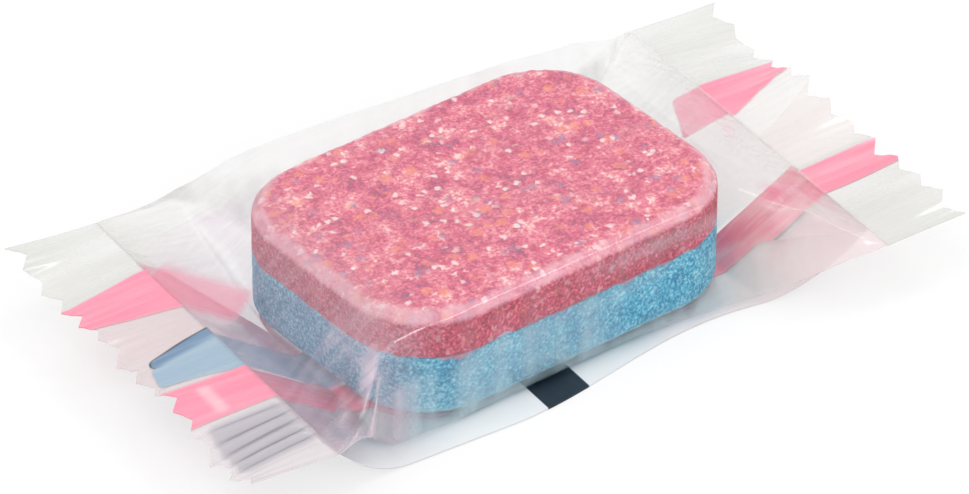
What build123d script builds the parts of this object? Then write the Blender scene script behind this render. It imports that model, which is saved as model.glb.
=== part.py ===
"""A two-layer dishwasher tablet, sealed in its own film wrapper.

The wrapper is one folded web of film. Its two long edges are welded together into a fin,
which is laid over forwards under the pack, and both ends are pressed flat and welded into
a ribbed seal that a toothed knife cuts off. Between the seals the film stands round the
tablet as a box, and each end of that box closes like a tent, with a gusset at each corner.

Frame: X runs along the pack, Y across it and Z up. The origin is the middle of the pack on
the surface that it lies on. All sizes are in millimetres.
"""

from build123d import *

import os
from math import cos, hypot, pi, radians, sin, tan

# Tablet: two layers of powder pressed on each other, with a bevelled rim at top and bottom.
TABLET_LENGTH = 36.0
TABLET_WIDTH = 26.0
TABLET_CORNER = 7.5
BOTTOM_LAYER = 6.1
TOP_LAYER = 4.2
RIM_BEVEL = 0.9
RIM_SOFTENING = 0.25

# How the tablet lies in its loose wrapper, seen from above.
TABLET_TURN = 5.3
TABLET_SHIFT_X = -0.8
TABLET_SHIFT_Y = -0.3

# Wrapper: the web is a tube, so the taller its section stands, the narrower it is.
FILM = 0.08
PACK_LENGTH = 70.0
FLAT_WIDTH = 38.0
SEAL_LENGTH = 8.4
WELD_OVERLAP = 0.42
SEAL_HEIGHT = 5.4
LOOSENESS = 0.05
FOLD_RADIUS = 1.3
FOLD_CLEARANCE = 1.5
CREASE_RADIUS = 0.15
ROUNDED_SHARE = 0.4
CROWN = 0.02

# Fin: the welded edges of the web, laid over forwards under the pack.
FIN_SEAM = -7.5
FIN_WIDTH = 9.6
FIN_AIR = 0.06
FIN_CLEAR = 0.02
FIN_DROOP = 1.2
FIN_ROOT = 0.15
FIN_BUCKLE = 3.4
FIN_BUCKLE_AT = 13.0
FIN_BUCKLE_REACH = 22.0

# End seals: ribs along the pack and a zigzag cut, on an edge that has curled into a wave.
RIB_COUNT = 38
RIB_RISE = 0.1
TOOTH_DEPTH = 1.1
LEFT_TEETH = 13
RIGHT_TEETH = 12

# The wave of the two cut edges. Each row gives a place across the pack, from -1 at the front
# to 1 at the back, and how far the cut edge stands above or below the seal there.
LEFT_CUT = (
    (-1.0, 0.3),
    (-0.75, -1.4),
    (-0.38, 0.25),
    (0.0, -0.75),
    (0.25, 0.0),
    (0.56, -0.8),
    (1.0, 0.9),
)
RIGHT_CUT = (
    (-1.0, 0.2),
    (-0.8, 1.0),
    (-0.33, 0.45),
    (0.0, 1.15),
    (0.17, 1.9),
    (0.64, -1.2),
    (1.0, -0.2),
)

# The two side walls, from the left seal to the right one. Each row gives a place along the
# pack, how far the wall has opened there, how far it stands off the tablet and how far its
# upper edge leans out. Places run from -2 at the left seal, over -1 and 1 at the two ends
# of the tablet, to 2 at the right seal.
FRONT_WALL = (
    (-2.0, 0.0, 0.0, 0.0),
    (-1.56, 0.42, 0.0, 0.3),
    (-1.15, 0.96, 0.1, 0.2),
    (-0.9, 1.0, 0.15, 0.0),
    (0.4, 1.0, 0.3, 0.0),
    (0.95, 0.92, 1.0, -0.8),
    (1.33, 0.56, 0.7, -1.9),
    (1.8, 0.12, 0.2, -0.8),
    (2.0, 0.0, 0.0, 0.0),
)
BACK_WALL = (
    (-2.0, 0.0, 0.0, 0.0),
    (-1.4, 0.04, 0.1, 0.0),
    (-0.97, 0.14, 0.85, 0.2),
    (-0.68, 0.62, 1.4, 1.6),
    (0.13, 0.88, 0.7, 1.2),
    (0.8, 0.98, 0.0, 0.1),
    (1.1, 0.86, -0.5, 0.0),
    (1.5, 0.47, -0.9, 0.0),
    (2.0, 0.0, 0.0, 0.0),
)

# How finely the film is divided.
TENT_STEPS = 6
CORNER_STEPS = 5
BOX_STEPS = 4

# Heights and places that follow from the sizes above.
fin_thickness = 2 * FILM
fin_lift = fin_thickness + FIN_AIR + FIN_CLEAR
tablet_bottom = fin_lift + FILM + LOOSENESS
layer_plane = tablet_bottom + BOTTOM_LAYER
tablet_top = layer_plane + TOP_LAYER
film_top = tablet_top + LOOSENESS + FILM
half_flat = FLAT_WIDTH / 2
seal_start = PACK_LENGTH / 2 - SEAL_LENGTH
seal_half = FILM + LOOSENESS
seal_weld = seal_half + FILM / 4
turn = radians(TABLET_TURN)
core_length = TABLET_LENGTH / 2 - TABLET_CORNER
core_width = TABLET_WIDTH / 2 - TABLET_CORNER
core_reach = core_length * cos(turn) + core_width * sin(turn)
crown_radius = TABLET_CORNER - RIM_BEVEL / 2
left_box_end = core_reach + crown_radius - TABLET_SHIFT_X
right_box_end = core_reach + crown_radius + TABLET_SHIFT_X


def ease(value):
    """A step from 0 to 1 with soft ends."""
    value = min(1.0, max(0.0, value))
    return value * value * (3 - 2 * value)


def blend(start, end, share):
    """The value a share of the way from start to end."""
    return start + (end - start) * share


def crown_edge(x, side):
    """Where the film over the tablet's face starts to fall at x, to the front or the back."""
    middle = TABLET_SHIFT_Y + side * core_width * cos(turn)
    left_x = TABLET_SHIFT_X - core_length * cos(turn) - side * core_width * sin(turn)
    right_x = left_x + 2 * core_length * cos(turn)
    left_y = middle - core_length * sin(turn)
    right_y = middle + core_length * sin(turn)
    beyond = min(crown_radius, max(left_x - x, x - right_x, 0.0))
    along = min(1.0, max(0.0, (x - left_x) / (right_x - left_x)))
    return blend(left_y, right_y, along) + side * (crown_radius**2 - beyond**2) ** 0.5


def opening(x):
    """How far the tent has opened at x: straight, from 0 at the seal to 1 over the tablet."""
    box_end = left_box_end if x < 0 else right_box_end
    return min(1.0, max(0.0, (seal_start - abs(x)) / (seal_start - box_end)))


def place_along(x):
    """The place along the pack, as the rows of the side walls count it."""
    if x < -left_box_end:
        return -1 - (-left_box_end - x) / (seal_start - left_box_end)
    if x > right_box_end:
        return 1 + (x - right_box_end) / (seal_start - right_box_end)
    return 2 * (x + left_box_end) / (left_box_end + right_box_end) - 1


def through(rows, place):
    """The values at a place, on smooth curves through the rows."""
    place = min(rows[-1][0], max(rows[0][0], place))
    step = max(i for i in range(len(rows) - 1) if rows[i][0] <= place)
    start, end = rows[step], rows[step + 1]
    before = rows[max(step - 1, 0)]
    after = rows[min(step + 2, len(rows) - 1)]
    span = end[0] - start[0]
    t = (place - start[0]) / span
    values = []
    for column in range(1, len(start)):
        leave = (end[column] - before[column]) / (end[0] - before[0]) * span
        arrive = (after[column] - start[column]) / (after[0] - start[0]) * span
        value = blend(start[column], end[column], ease(t))
        values.append(value + t * (1 - t) * ((1 - t) * leave - t * arrive))
    return values


def wall_at(x, side):
    """How far one side wall has opened at x, how far it stands off and how far it leans."""
    opened, standoff, lean = through(FRONT_WALL if side < 0 else BACK_WALL, place_along(x))
    return min(1.0, max(0.0, opened)), standoff, lean


def fin_edge(x):
    """Where the free edge of the fin lies at x: it buckles back under the pack on the right."""
    buckle = ease(1 - abs(x - FIN_BUCKLE_AT) / FIN_BUCKLE_REACH)
    return FIN_SEAM - FIN_WIDTH + FIN_BUCKLE * buckle


def softened(before, corner, after, radius):
    """Three points that round one corner of a section, never over more than a share of a side."""
    ends = []
    for other in (before, after):
        length = hypot(other[0] - corner[0], other[1] - corner[1])
        share = min(radius, ROUNDED_SHARE * length) / length
        ends.append((blend(corner[0], other[0], share), blend(corner[1], other[1], share)))
    middle = tuple((a + b) / 4 + c / 2 for a, b, c in zip(ends[0], ends[1], corner))
    return [ends[0], middle, ends[1]]


def film_section(x, inset, with_fin):
    """The film's closed section at x, as (y, z) points, drawn inwards by inset."""
    opened = opening(x)
    top = blend(SEAL_HEIGHT + seal_half, film_top, opened)
    low_back = blend(SEAL_HEIGHT - seal_half, 0.0, opened)
    low_front = blend(SEAL_HEIGHT - seal_half - FIN_CLEAR, fin_lift, opened)

    corners = {}
    for side in (-1, 1):
        fold, standoff, lean = wall_at(x, side)
        tablet_side = side * TABLET_SHIFT_Y + side * tan(turn) * (x - TABLET_SHIFT_X)
        tablet_side += TABLET_WIDTH / 2 / cos(turn) + LOOSENESS + FILM
        out = side * (blend(half_flat, tablet_side, fold) + standoff - inset)
        low = low_front if side < 0 else low_back
        corner_top = min(top, blend(SEAL_HEIGHT + seal_half, film_top, fold)) - CROWN - inset
        corner_low = max(low, blend(SEAL_HEIGHT - seal_half, low, fold)) + CROWN + inset
        radius = blend(CREASE_RADIUS, FOLD_RADIUS, fold)
        corners[side] = ((out + side * lean, corner_top), (out - side * lean, corner_low), radius)
    front_top, front_low, front_radius = corners[-1]
    back_top, back_low, back_radius = corners[1]

    front_edge = blend(2 * FOLD_RADIUS - half_flat, crown_edge(x, -1), opened)
    back_edge = blend(half_flat - 2 * FOLD_RADIUS, crown_edge(x, 1), opened)
    crown_front = max(front_edge, front_top[0] + FOLD_CLEARANCE)
    crown_back = min(back_edge, back_top[0] - FOLD_CLEARANCE)
    floor_front = min(max(front_edge, front_low[0] + FOLD_CLEARANCE), FIN_SEAM - FOLD_CLEARANCE)
    floor_back = min(back_edge, back_low[0] - FOLD_CLEARANCE)

    crown = [(crown_front, top - inset), (crown_back, top - inset)]
    behind = [(floor_back, low_back + inset), (FIN_SEAM + FIN_ROOT + inset, low_back + inset)]
    ahead = [(FIN_SEAM - FIN_ROOT + inset, low_front + inset), (floor_front, low_front + inset)]
    fin = []
    if with_fin:
        fin_low = low_front - fin_lift + FIN_CLEAR
        fin_high = fin_low + fin_thickness
        rim = fin_edge(x)
        droop = FIN_DROOP * 4 * opened * (1 - opened)
        fin = [(FIN_SEAM, fin_low), (rim, fin_low - droop), (rim, fin_high - droop)]
        fin.append((FIN_SEAM - FIN_ROOT, fin_high))
    return (
        behind
        + fin
        + ahead
        + softened(ahead[-1], front_low, front_top, front_radius)
        + softened(front_low, front_top, crown[0], front_radius)
        + crown
        + softened(crown[-1], back_top, back_low, back_radius)
        + softened(back_top, back_low, behind[0], back_radius)
    )


def seal_section(cut_rows, side, share):
    """The ribbed section of an end seal, waving by a share of the cut edge's wave."""
    upper = []
    lower = []
    for i in range(2 * RIB_COUNT + 1):
        y = -half_flat + i * half_flat / RIB_COUNT
        middle = SEAL_HEIGHT + share * through(cut_rows, y / half_flat)[0]
        half = seal_weld + RIB_RISE * (i % 2)
        in_fin = fin_edge(side * seal_start) - FILM < y < FIN_SEAM + FILM
        upper.append((y, middle + half))
        lower.append((y, middle - half - (fin_lift if in_fin else 0.0)))
    return upper + lower[::-1]


# The tablet: one outline for both layers, the bevelled rims at the two outer faces.
tablet_place = Location((TABLET_SHIFT_X, TABLET_SHIFT_Y, 0), (0, 0, TABLET_TURN))

with BuildPart() as tablet_bottom_layer:
    with BuildSketch(Plane.XY.offset(tablet_bottom)):
        with Locations(tablet_place):
            RectangleRounded(TABLET_LENGTH, TABLET_WIDTH, TABLET_CORNER)
    extrude(amount=BOTTOM_LAYER)
    lower_rim = tablet_bottom_layer.faces().sort_by(Axis.Z)[0].edges()
    chamfer(lower_rim, RIM_BEVEL)
    bevel_edges = tablet_bottom_layer.edges().group_by(Axis.Z)[:2]
    fillet(bevel_edges[0] + bevel_edges[1], RIM_SOFTENING)

with BuildPart() as tablet_top_layer:
    with BuildSketch(Plane.XY.offset(layer_plane)):
        with Locations(tablet_place):
            RectangleRounded(TABLET_LENGTH, TABLET_WIDTH, TABLET_CORNER)
    extrude(amount=TOP_LAYER)
    upper_rim = tablet_top_layer.faces().sort_by(Axis.Z)[-1].edges()
    chamfer(upper_rim, RIM_BEVEL)
    bevel_edges = tablet_top_layer.edges().group_by(Axis.Z)[-2:]
    fillet(bevel_edges[0] + bevel_edges[1], RIM_SOFTENING)

# Where the film's sections stand: close together in the tents and over the tablet's corners.
tents = [i / TENT_STEPS for i in range(TENT_STEPS)]
corner_steps = [crown_radius * (1 - sin(pi / 2 * i / CORNER_STEPS)) for i in range(CORNER_STEPS + 1)]
left_stations = [blend(-seal_start, -left_box_end, share) for share in tents]
left_stations += [inward - left_box_end for inward in reversed(corner_steps)]
right_stations = [blend(seal_start, right_box_end, share) for share in tents]
right_stations += [right_box_end - inward for inward in reversed(corner_steps)]
right_stations.reverse()
middle_steps = [i / BOX_STEPS for i in range(1, BOX_STEPS)]
middle_stations = [blend(left_stations[-1], right_stations[0], share) for share in middle_steps]
stations = left_stations + middle_stations + right_stations
end_station = seal_start + WELD_OVERLAP

with BuildPart() as film_wrapper:
    # The outside of the web with its fin, from weld to weld.
    for x in [-end_station] + stations + [end_station]:
        with BuildSketch(Plane.YZ.offset(x)):
            with BuildLine():
                Polyline(*film_section(x, 0, True), close=True)
            make_face()
    loft(ruled=True)

    # The space inside, closed by the end seals.
    for x in stations:
        with BuildSketch(Plane.YZ.offset(x)):
            with BuildLine():
                Polyline(*film_section(x, FILM, False), close=True)
            make_face()
    loft(ruled=True, mode=Mode.SUBTRACT)

for side, tooth_count, cut_rows in ((-1, LEFT_TEETH, LEFT_CUT), (1, RIGHT_TEETH, RIGHT_CUT)):
    with BuildPart() as end_seal:
        for reach, share in ((seal_start, 0), (PACK_LENGTH / 2, 1)):
            with BuildSketch(Plane.YZ.offset(side * reach)):
                with BuildLine():
                    Polyline(*seal_section(cut_rows, side, share), close=True)
                make_face()
        loft(ruled=True)

        # The knife's zigzag, with a point at each corner of the pack.
        tooth_pitch = FLAT_WIDTH / tooth_count
        cut = [(side * seal_start, half_flat), (side * seal_start, -half_flat)]
        for i in range(tooth_count):
            y = -half_flat + i * tooth_pitch
            cut.append((side * PACK_LENGTH / 2, y))
            cut.append((side * (PACK_LENGTH / 2 - TOOTH_DEPTH), y + tooth_pitch / 2))
        cut.append((side * PACK_LENGTH / 2, half_flat))
        with BuildSketch(Plane.XY):
            with BuildLine():
                Polyline(*cut, close=True)
            make_face()
        extrude(amount=2 * SEAL_HEIGHT, mode=Mode.INTERSECT)
    with film_wrapper:
        add(end_seal.part)

film_wrapper.part.label = "film_wrapper"
tablet_top_layer.part.label = "tablet_top_layer"
tablet_bottom_layer.part.label = "tablet_bottom_layer"

os.makedirs("parts", exist_ok=True)
export_step(film_wrapper.part, "parts/film_wrapper.step")
export_step(tablet_top_layer.part, "parts/tablet_top_layer.step")
export_step(tablet_bottom_layer.part, "parts/tablet_bottom_layer.step")
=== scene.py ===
"""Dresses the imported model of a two-layer dishwasher tablet, sealed in its own wrapping film.

The wrapper is made as the real one is: a flat web of film is folded into a tube, its two long
edges are welded into a fin that is laid over under the pack, and both ends are pressed into
ribbed seals. The tablet inside is two layers of pressed powder. All sizes below are in
millimetres and are turned to metres as the meshes are placed.
"""

import logging
from dataclasses import dataclass
from enum import Enum
from math import cos, hypot, pi, radians, sin, tan
from typing import Any, Callable, Sequence

import bpy
import numpy as np
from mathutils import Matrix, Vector, noise


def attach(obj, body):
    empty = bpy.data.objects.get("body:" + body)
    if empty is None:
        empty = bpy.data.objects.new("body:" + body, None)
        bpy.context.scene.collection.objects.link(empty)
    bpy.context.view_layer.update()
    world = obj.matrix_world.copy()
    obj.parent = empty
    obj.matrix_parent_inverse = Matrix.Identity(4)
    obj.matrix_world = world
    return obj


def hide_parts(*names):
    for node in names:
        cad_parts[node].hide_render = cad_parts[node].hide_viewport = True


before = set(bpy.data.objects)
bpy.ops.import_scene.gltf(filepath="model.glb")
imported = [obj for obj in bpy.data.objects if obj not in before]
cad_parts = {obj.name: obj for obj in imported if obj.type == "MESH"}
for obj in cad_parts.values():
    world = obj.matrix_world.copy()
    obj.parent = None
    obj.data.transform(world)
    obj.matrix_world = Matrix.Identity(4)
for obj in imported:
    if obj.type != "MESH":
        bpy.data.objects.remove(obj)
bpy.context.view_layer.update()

MM = 0.001
LOG = logging.getLogger("wrapped_tablet")

Point = tuple[float, float]
Triple = tuple[float, float, float]
Socket = bpy.types.NodeSocket
Tree = bpy.types.NodeTree


class End(Enum):
    """The two ends of the pack, as signs along X."""

    LEFT = -1
    RIGHT = 1


class Panel(Enum):
    """The parts of the web, in the order in which the tube carries their materials."""

    CLEAR = 0
    UNDERSIDE = 1
    FIN = 2


# Small helpers


def linear(colour: str) -> tuple[float, float, float, float]:
    """Turns an sRGB hex colour to linear red, green, blue and full alpha.

    Args:
        colour: Six hex digits after a hash.

    Returns:
        The colour as Blender's sockets take it.
    """
    parts = [int(colour[i : i + 2], 16) / 255 for i in (1, 3, 5)]
    shades = [p / 12.92 if p <= 0.04045 else ((p + 0.055) / 1.055) ** 2.4 for p in parts]
    return (shades[0], shades[1], shades[2], 1.0)


def add_node(
    tree: Tree,
    kind: str,
    settings: dict[Any, Any] | None = None,
    links: dict[Any, Socket] | None = None,
) -> bpy.types.Node:
    """Adds a shader node with its settings and links.

    Args:
        tree: The node tree that takes the node.
        kind: Blender's name for the kind of node, less the "ShaderNode" that it starts with.
        settings: Values by property name, or by input name or number.
        links: Output sockets by the input name or number that they feed.

    Returns:
        The new node.
    """
    node = tree.nodes.new(f"ShaderNode{kind}")
    for name, value in (settings or {}).items():
        if isinstance(name, str) and hasattr(node, name):
            setattr(node, name, value)
        else:
            node.inputs[name].default_value = value
    for name, source in (links or {}).items():
        tree.links.new(source, node.inputs[name])
    return node


def new_material(name: str) -> tuple[bpy.types.Material, Tree]:
    """Makes an empty node material.

    Args:
        name: The material's name.

    Returns:
        The material and its node tree.
    """
    material = bpy.data.materials.new(name)
    material.use_nodes = True
    material.node_tree.nodes.clear()
    return material, material.node_tree


def blend(start: Any, end: Any, share: float) -> Any:
    """Gives the value, or the values, a share of the way from start to end."""
    return start + (end - start) * share


def toward(start: Point, end: Point, share: float) -> Point:
    """Gives the point a share of the way from start to end."""
    return blend(start[0], end[0], share), blend(start[1], end[1], share)


def ease(value: float) -> float:
    """Gives a step from 0 to 1 with soft ends."""
    value = min(1.0, max(0.0, value))
    return value * value * (3 - 2 * value)


def curve(start: Any, end: Any, leave: Any, arrive: Any, t: Any) -> Any:
    """Reads a smooth curve between two values.

    Args:
        start: The value where t is 0.
        end: The value where t is 1.
        leave: How steeply the curve leaves the start, over the whole span.
        arrive: How steeply it arrives at the end.
        t: The share of the span, a number or an array.

    Returns:
        The value at t.
    """
    return blend(start, end, t * t * (3 - 2 * t)) + t * (1 - t) * ((1 - t) * leave - t * arrive)


def clipped(values: Any) -> np.ndarray:
    """Keeps values between 0 and 1."""
    return np.clip(values, 0.0, 1.0)


def hump(distance: np.ndarray, reach: float, power: int = 2) -> np.ndarray:
    """Gives 1 at no distance, which falls away smoothly about as far off as the reach."""
    return np.exp(-((distance / reach) ** power))


def mark(piece: bpy.types.Object, name: str, values: np.ndarray) -> None:
    """Keeps one value for each vertex, which the piece's material reads by name.

    Args:
        piece: The piece.
        name: The value's name.
        values: The values, in the order of the vertices.
    """
    kept = piece.data.attributes.new(name, "FLOAT", "POINT")
    kept.data.foreach_set("value", values.astype(np.float32))


def flat_web(
    name: str, shape: np.ndarray
) -> tuple[bpy.types.Object, tuple[np.ndarray, np.ndarray]]:
    """Adds a flat grid, as a web of film comes off its roll, and folds it.

    Args:
        name: The piece's name.
        shape: The folded web in millimetres, by column along the pack and row across it.

    Returns:
        The web's object, and the column and the row of each of its vertices.
    """
    counts = (shape.shape[0] - 1, shape.shape[1] - 1)
    bpy.ops.object.select_all(action="DESELECT")
    bpy.ops.mesh.primitive_grid_add(x_subdivisions=counts[0], y_subdivisions=counts[1], size=1.0)
    web = bpy.context.object
    web.name = name
    web.data.name = name
    places = np.empty(len(web.data.vertices) * 3)
    web.data.vertices.foreach_get("co", places)
    places = places.reshape(-1, 3)
    columns, rows = (
        np.rint((places[:, axis] + 0.5) * counts[axis]).astype(int) for axis in (0, 1)
    )
    web.data.vertices.foreach_set("co", (shape[columns, rows] * MM).reshape(-1))
    web.data.update()
    return web, (columns, rows)


def thicken(
    piece: bpy.types.Object, thickness: float, offset: float, melted: Sequence[int] = ()
) -> None:
    """Gives a web its thickness.

    Args:
        piece: The web.
        thickness: The thickness in millimetres.
        offset: Where the web lies in it: 0 in the middle, and -1 puts all of it inwards.
        melted: The vertices of an edge that is melted down to a tenth of the thickness.
    """
    bpy.ops.object.select_all(action="DESELECT")
    piece.select_set(True)
    bpy.context.view_layer.objects.active = piece
    solidify = piece.modifiers.new("film_thickness", "SOLIDIFY")
    solidify.thickness = thickness * MM
    solidify.offset = offset
    if len(melted):
        edge = piece.vertex_groups.new(name="melted_edge")
        edge.add([int(i) for i in melted], 1.0, "REPLACE")
        solidify.vertex_group = edge.name
        solidify.invert_vertex_group = True
        solidify.thickness_vertex_group = 0.1
    bpy.ops.object.modifier_apply(modifier=solidify.name)
    bpy.ops.object.shade_smooth_by_angle(angle=radians(35))


def field_noise(points: np.ndarray, size: Triple, seed: float) -> np.ndarray:
    """Reads smooth noise at many points.

    Args:
        points: The points in millimetres, with X, Y and Z in the last axis.
        size: How many millimetres one wave of the noise takes along X, Y and Z.
        seed: A shift that picks another stretch of the noise.

    Returns:
        One value per point, from about -1 to 1.
    """
    scaled = points.reshape(-1, 3) / np.array(size) + seed
    return np.array([noise.noise(Vector(p)) for p in scaled]).reshape(points.shape[:-1])


# The tablet


@dataclass(frozen=True)
class TabletSizes:
    """The tablet's sizes and its place in the wrapper, the same as in the part's source."""

    length: float = 36.0
    width: float = 26.0
    corner: float = 7.5
    bottom_layer: float = 6.1
    top_layer: float = 4.2
    rim_bevel: float = 0.9
    rim_softening: float = 0.25
    turn: float = radians(5.3)
    shift_x: float = -0.8
    shift_y: float = -0.3
    foot: float = 0.37

    @property
    def core(self) -> Point:
        """Half the length and width of the box between the centres of the round corners."""
        return self.length / 2 - self.corner, self.width / 2 - self.corner

    @property
    def layer_plane(self) -> float:
        """The height at which the two layers meet."""
        return self.foot + self.bottom_layer

    @property
    def top(self) -> float:
        """The height of the upper face."""
        return self.layer_plane + self.top_layer


@dataclass(frozen=True)
class Fleck:
    """Coarse grains of one colour among the others.

    The share is how many of the grains have it, and the channel keeps two kinds apart. The
    edge is where in its cell a grain starts to show and where it shows in full.
    """

    colour: str
    size: float
    share: float
    channel: str
    cover: float = 0.85
    full_share: float = 0.6
    edge: Point = (0.58, 0.26)


@dataclass(frozen=True)
class Grain:
    """The colours of one kind of surface: a ramp over clouds, grains and dust mixed together.

    The weights say how much of each goes in, and the reach how far to both sides of the
    middle the ramp goes.
    """

    ramp: tuple[tuple[float, str], ...]
    weights: Triple
    reach: float
    fleck_strength: float


@dataclass(frozen=True)
class PressedPowder:
    """Pressed detergent powder: salts and enzymes pressed dry, so dull, grainy and chalky.

    The pressed faces show coarse grains of several colours, the rims are painted paler, in part
    as the film's sheen over them, and the walls that slid along the die are finer and deeper
    in colour. Where the two layers meet, each has worked a little into the other.
    """

    name: str
    face: Grain
    wall: Grain
    flecks: tuple[Fleck, ...]
    rim: str
    neighbour: str
    meeting: float
    lies_above: bool
    cloud_size: float = 2.6
    grain_size: float = 0.62
    dust_size: float = 0.26
    shake: float = 0.0005
    mingling: float = 0.9
    fine_mingling: float = 0.5
    meeting_drop: float = 0.25
    meeting_blur: float = 0.14
    meeting_cover: float = 0.9
    roughness: float = 0.85
    bump: float = 0.55
    bump_depth: float = 0.12

    def ramp(self, tree: Tree, stops: tuple[tuple[float, str], ...], source: Socket) -> Socket:
        """Adds a colour ramp over the grains.

        Args:
            tree: The material's node tree.
            stops: Places from 0 to 1 with their colours.
            source: The value that picks a place.

        Returns:
            The ramp's colour.
        """
        node = add_node(tree, "ValToRGB", links={"Fac": source})
        elements = node.color_ramp.elements
        while len(elements) < len(stops):
            elements.new(0.5)
        for element, (place, colour) in zip(elements, stops):
            element.position = place
            element.color = linear(colour)
        return node.outputs["Color"]

    def speckled(self, tree: Tree, place: Socket, colour: Socket, strength: float) -> Socket:
        """Strews the flecks over a colour, as the odd grains that a pressed face shows.

        Args:
            tree: The material's node tree.
            place: The point, already shaken, so that no grain is a plain cell.
            colour: The colour under the flecks.
            strength: How much of each fleck's cover shows.

        Returns:
            The colour with its flecks.
        """
        for fleck in self.flecks:
            cell_size = {"Scale": 1 / (fleck.size * MM), "Randomness": 1.0}
            cells = add_node(tree, "TexVoronoi", cell_size, {"Vector": place})
            pick = add_node(tree, "SeparateXYZ", links={"Vector": cells.outputs["Color"]})
            picked = {
                "From Min": 1 - fleck.share,
                "From Max": 1 - fleck.share * fleck.full_share,
                "To Max": fleck.cover * strength,
            }
            chosen = add_node(tree, "MapRange", picked, {"Value": pick.outputs[fleck.channel]})
            edge = {
                "interpolation_type": "SMOOTHSTEP",
                "From Min": fleck.edge[0],
                "From Max": fleck.edge[1],
            }
            inside = add_node(tree, "MapRange", edge, {"Value": cells.outputs["Distance"]})
            both = {0: chosen.outputs["Result"], 1: inside.outputs["Result"]}
            share = add_node(tree, "Math", {"operation": "MULTIPLY"}, both).outputs["Value"]
            colour = add_node(
                tree, "MixRGB", {"Color2": linear(fleck.colour)}, {"Fac": share, "Color1": colour}
            ).outputs["Color"]
        return colour

    def weighted(
        self, tree: Tree, parts: Sequence[tuple[Socket, float]], total: Socket | None = None
    ) -> Socket:
        """Adds up values, each times its weight.

        Args:
            tree: The material's node tree.
            parts: The values and their weights.
            total: What the sum starts from, if that isn't nothing.

        Returns:
            The sum.
        """
        for source, weight in parts:
            links = {0: source} if total is None else {0: source, 2: total}
            settings = {"operation": "MULTIPLY_ADD", 1: weight, 2: 0.0}
            total = add_node(tree, "Math", settings, links).outputs["Value"]
        return total

    def build(self) -> bpy.types.Material:
        """Builds the powder's material.

        Returns:
            The material, with its grain in the colour and the bump.
        """
        material, tree = new_material(self.name)
        place = add_node(tree, "TexCoord").outputs["Object"]
        layers = []
        for size, detail in ((self.cloud_size, 3.0), (self.grain_size, 3.0), (self.dust_size, 2.0)):
            settings = {"Scale": 1 / (size * MM), "Detail": detail, "Roughness": 0.65}
            layers.append(add_node(tree, "TexNoise", settings, {"Vector": place}))
        cloud, grain, dust = (layer.outputs["Fac"] for layer in layers)
        shaken = add_node(
            tree,
            "MixRGB",
            {"blend_type": "LINEAR_LIGHT", "Fac": self.shake},
            {"Color1": place, "Color2": layers[1].outputs["Color"]},
        ).outputs["Color"]

        # The walls are finer in grain and deeper in colour than the faces, and show few flecks.
        colours = []
        for surface in (self.wall, self.face):
            mixed = self.weighted(tree, list(zip((cloud, grain, dust), surface.weights)))
            middle = sum(surface.weights) / 2
            spread = {"From Min": middle - surface.reach, "From Max": middle + surface.reach}
            spot = add_node(tree, "MapRange", spread, {"Value": mixed}).outputs["Result"]
            plain = self.ramp(tree, surface.ramp, spot)
            colours.append(self.speckled(tree, shaken, plain, surface.fleck_strength))
        pressed = add_node(tree, "Attribute", {"attribute_name": "pressed_face"}).outputs["Fac"]
        colour = add_node(
            tree, "MixRGB", links={"Fac": pressed, "Color1": colours[0], "Color2": colours[1]}
        ).outputs["Color"]

        # The two layers meet on a wavy line, which both materials draw at the same height.
        height = add_node(tree, "SeparateXYZ", links={"Vector": place}).outputs["Z"]
        waves = [(cloud, -2 * self.mingling * MM), (grain, -self.fine_mingling * MM)]
        line = self.weighted(tree, waves, height)
        level = (self.meeting - self.mingling - self.meeting_drop) * MM
        half = self.meeting_blur * MM * (1 if self.lies_above else -1)
        meeting = {
            "interpolation_type": "SMOOTHSTEP",
            "From Min": level + half,
            "From Max": level - half,
            "To Max": self.meeting_cover,
        }
        worked_in = add_node(tree, "MapRange", meeting, {"Value": line}).outputs["Result"]

        # The rims are painted paler, partly as the film's sheen over them, and the neighbour's
        # powder shows at the line.
        pale_rim_share = add_node(tree, "Attribute", {"attribute_name": "pale_rim"}).outputs["Fac"]
        for shade, share in ((self.rim, pale_rim_share), (self.neighbour, worked_in)):
            colour = add_node(
                tree, "MixRGB", {"Color2": linear(shade)}, {"Fac": share, "Color1": colour}
            ).outputs["Color"]
        relief = {"Strength": self.bump, "Distance": self.bump_depth * MM}
        bump = add_node(tree, "Bump", relief, {"Height": dust}).outputs["Normal"]
        shader = add_node(
            tree,
            "BsdfPrincipled",
            {"Roughness": self.roughness, "IOR": 1.45, "Specular IOR Level": 0.25},
            {"Base Color": colour, "Normal": bump},
        )
        add_node(tree, "OutputMaterial", links={"Surface": shader.outputs["BSDF"]})
        return material


FACE_WEIGHTS = (0.45, 0.4, 0.35)
WALL_WEIGHTS = (0.3, 0.25, 0.8)

PINK_FACE = (
    (0.0, "#9A4874"),
    (0.22, "#C64A70"),
    (0.45, "#DC6082"),
    (0.65, "#E87B90"),
    (0.85, "#F0A1A8"),
    (1.0, "#F8D0CE"),
)
PINK_WALL = ((0.0, "#8E0B2D"), (0.35, "#B61D43"), (0.65, "#CF3C5E"), (1.0, "#E47892"))
BLUE_FACE = ((0.0, "#4E93B8"), (0.4, "#6FB4D4"), (0.7, "#92CBE0"), (1.0, "#CFE8F1"))
BLUE_WALL = ((0.0, "#08709B"), (0.35, "#1F93BA"), (0.65, "#50B5D2"), (1.0, "#9EDAE8"))

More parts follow.
